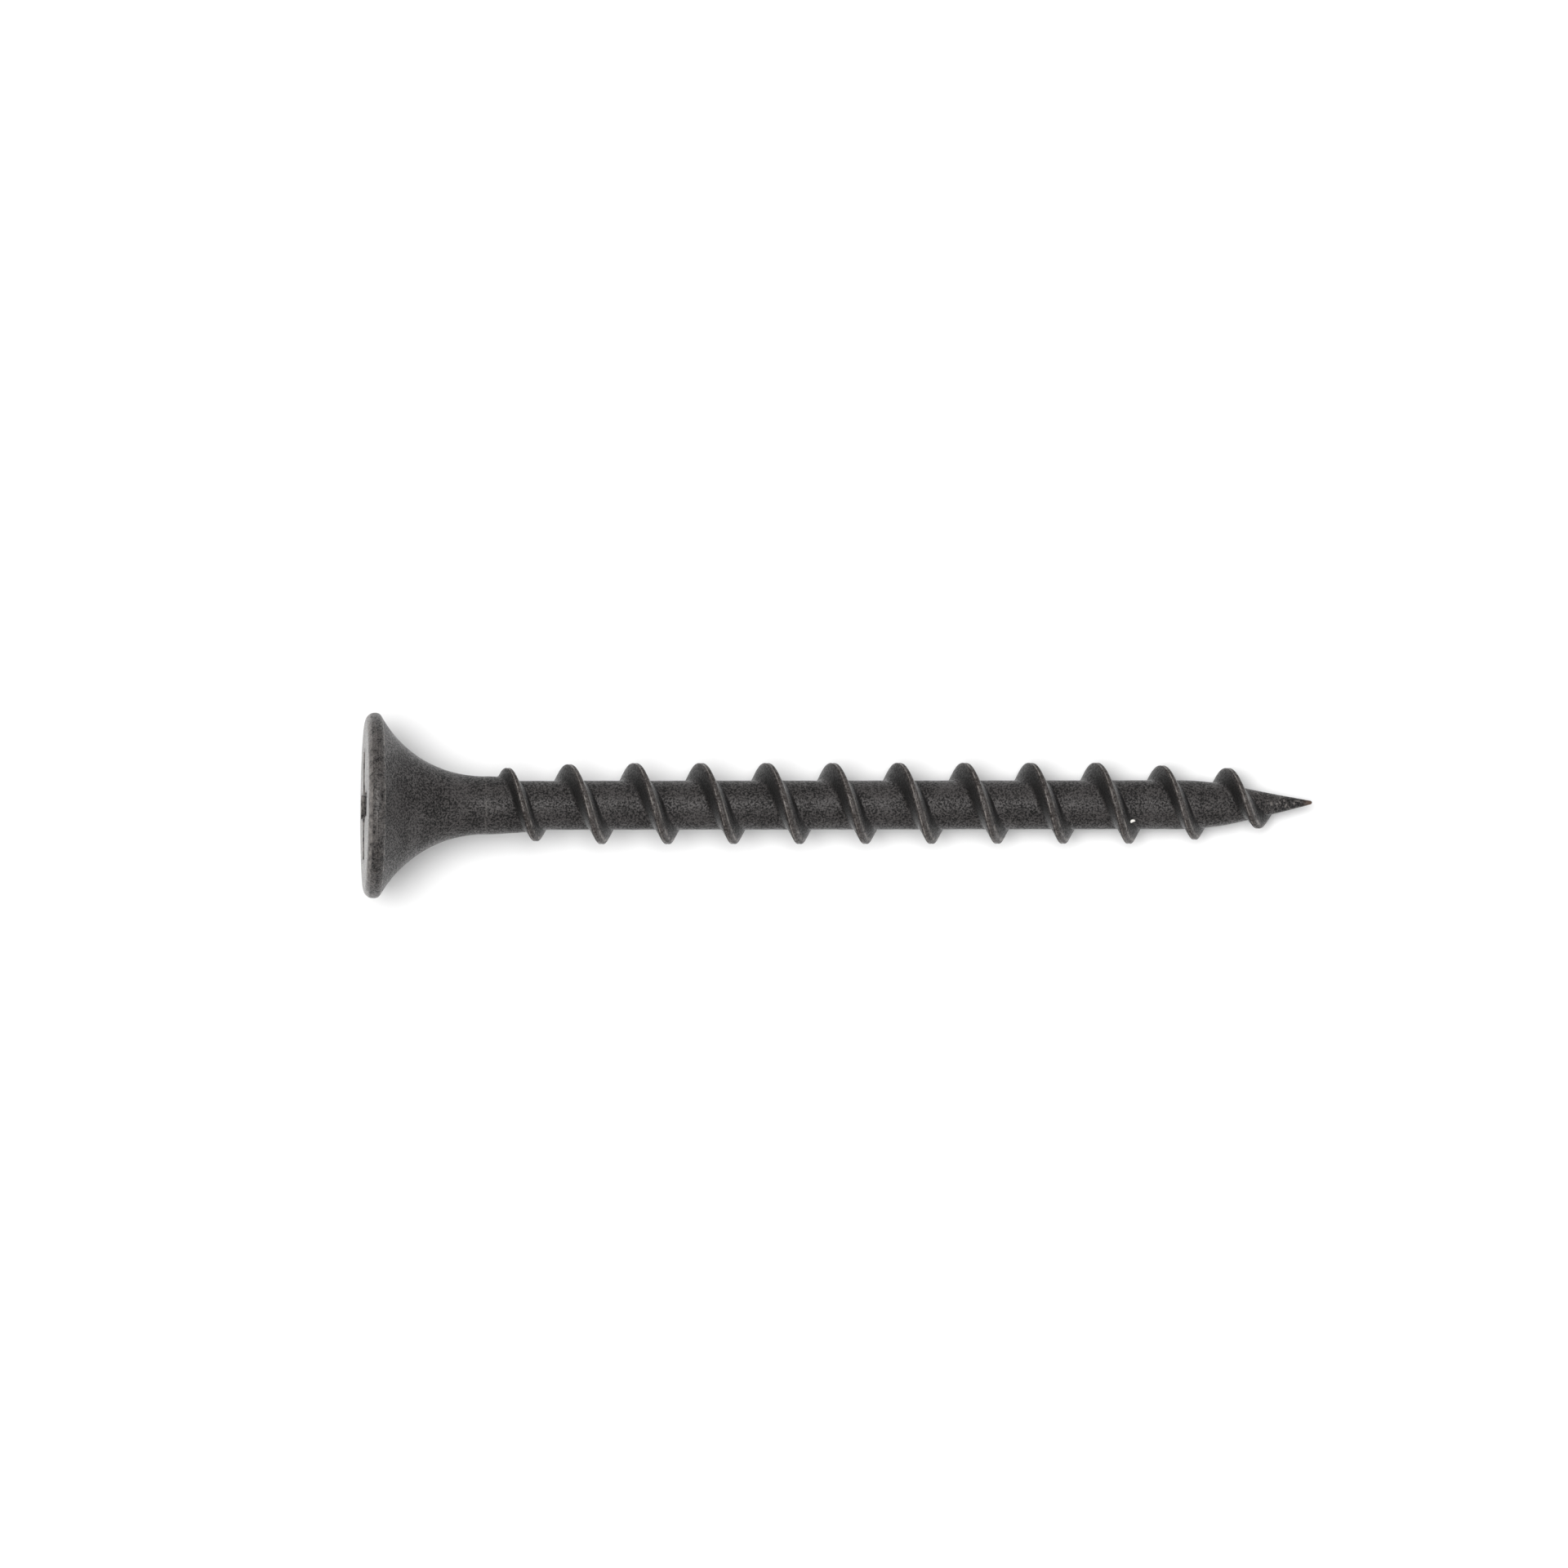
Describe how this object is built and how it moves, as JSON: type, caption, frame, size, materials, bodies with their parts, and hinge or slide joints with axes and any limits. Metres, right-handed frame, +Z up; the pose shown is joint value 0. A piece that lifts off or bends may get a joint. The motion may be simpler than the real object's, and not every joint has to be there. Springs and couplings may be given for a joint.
{
  "type": "wood screw",
  "caption": "Bugle-head wood screw with a cross recess, a coarse right-hand thread, a sharp point and a matte black phosphate coat.",
  "frame": {"origin": "centre of the head's flat face, on the screw's axis", "axes": "+X runs along the screw's axis from the head's face to the point; +Z is up when the screw lies on its side; +Y completes the right-handed frame"},
  "size_m": [0.041, 0.008, 0.008],
  "materials": {
    "head_coat": "matte",
    "shank_coat": "matte",
    "thread_coat": "matte"
  },
  "bodies": {
    "root": {"bugle_head": "head_coat", "neck": "shank_coat", "core": "shank_coat", "thread": "thread_coat", "point": "shank_coat", "point_thread": "thread_coat"}
  },
  "joints": []
}
